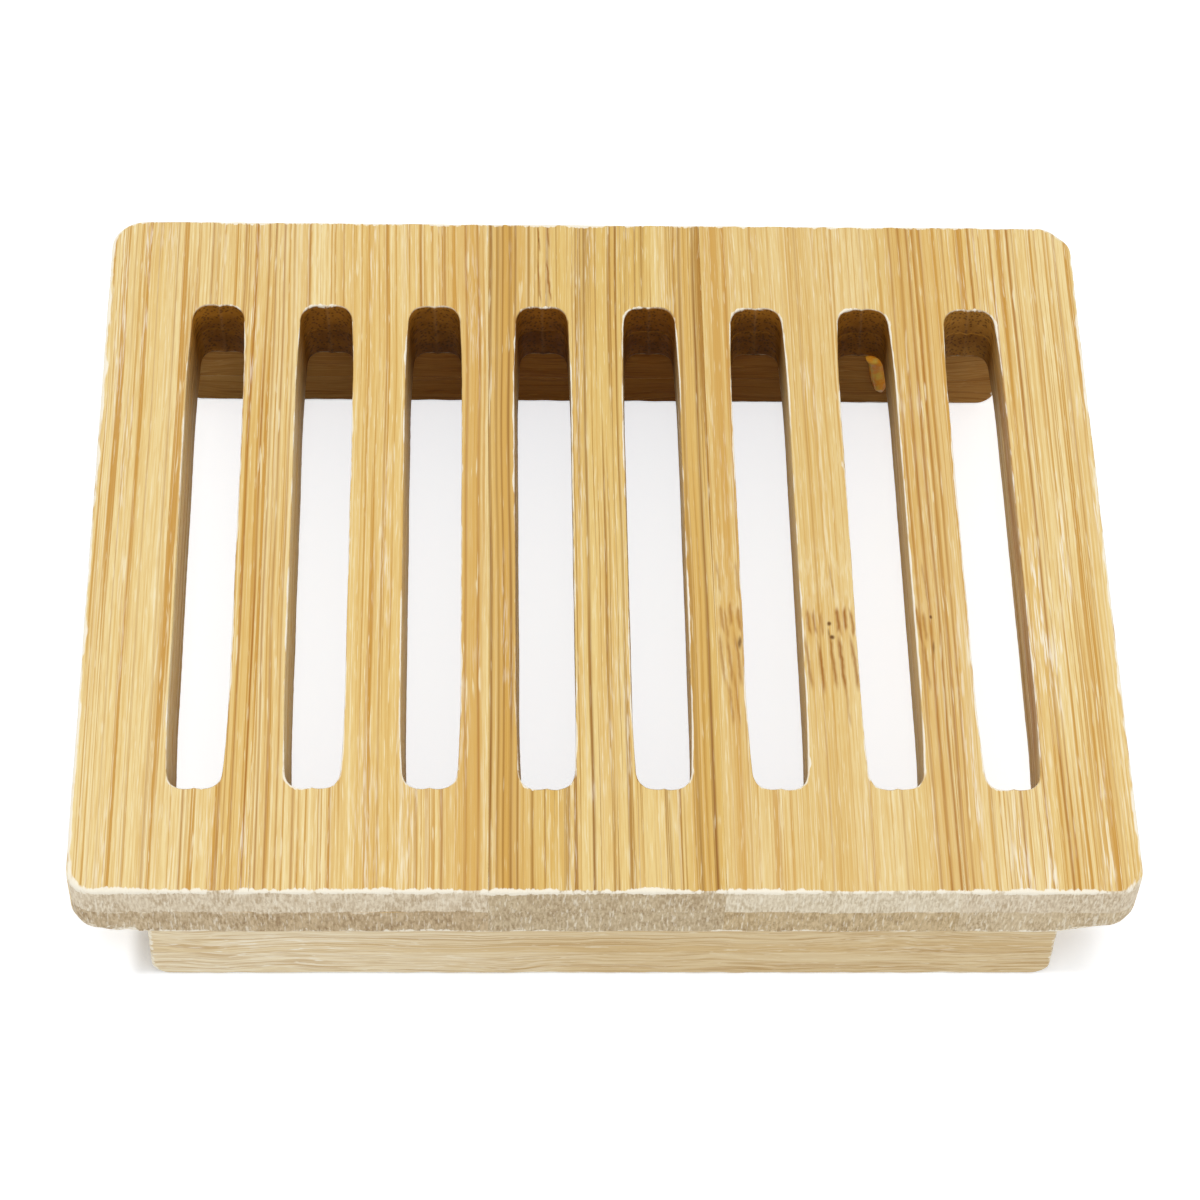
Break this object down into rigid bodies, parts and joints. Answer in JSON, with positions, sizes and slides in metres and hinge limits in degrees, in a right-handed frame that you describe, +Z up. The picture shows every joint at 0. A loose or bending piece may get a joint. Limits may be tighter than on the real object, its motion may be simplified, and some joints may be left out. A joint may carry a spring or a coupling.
{
  "type": "soap dish",
  "caption": "Rectangular slatted soap dish of laminated bamboo: a flat deck with front-to-back drain slots, glued onto a cross foot at the front and one at the rear.",
  "frame": {"origin": "under the middle of the dish, on the plane that its feet stand on", "axes": "+X along the long side to the right, +Y from the front edge to the rear edge along the slots, +Z up"},
  "size_m": [0.12, 0.097, 0.019],
  "materials": {
    "upper_bamboo_1": "sanded, unvarnished",
    "upper_bamboo_2": "sanded, unvarnished",
    "upper_bamboo_3": "sanded, unvarnished",
    "upper_bamboo_4": "sanded, unvarnished",
    "upper_bamboo_5": "sanded, unvarnished",
    "lower_bamboo_1": "sanded, unvarnished",
    "lower_bamboo_2": "sanded, unvarnished",
    "lower_bamboo_3": "sanded, unvarnished",
    "lower_bamboo_4": "sanded, unvarnished",
    "lower_bamboo_5": "sanded, unvarnished",
    "foot_bamboo": "sanded, unvarnished",
    "glue": "dried, glossy"
  },
  "bodies": {
    "root": {"deck_upper_strip_1": "upper_bamboo_1", "deck_upper_strip_2": "upper_bamboo_2", "deck_upper_strip_3": "upper_bamboo_3", "deck_upper_strip_4": "upper_bamboo_4", "deck_upper_strip_5": "upper_bamboo_5", "deck_lower_strip_1": "lower_bamboo_1", "deck_lower_strip_2": "lower_bamboo_2", "deck_lower_strip_3": "lower_bamboo_3", "deck_lower_strip_4": "lower_bamboo_4", "deck_lower_strip_5": "lower_bamboo_5", "front_foot_upper_ply": "foot_bamboo", "front_foot_lower_ply": "foot_bamboo", "rear_foot_upper_ply": "foot_bamboo", "rear_foot_lower_ply": "foot_bamboo", "front_foot_glue": "glue", "rear_foot_glue": "glue"}
  },
  "joints": []
}
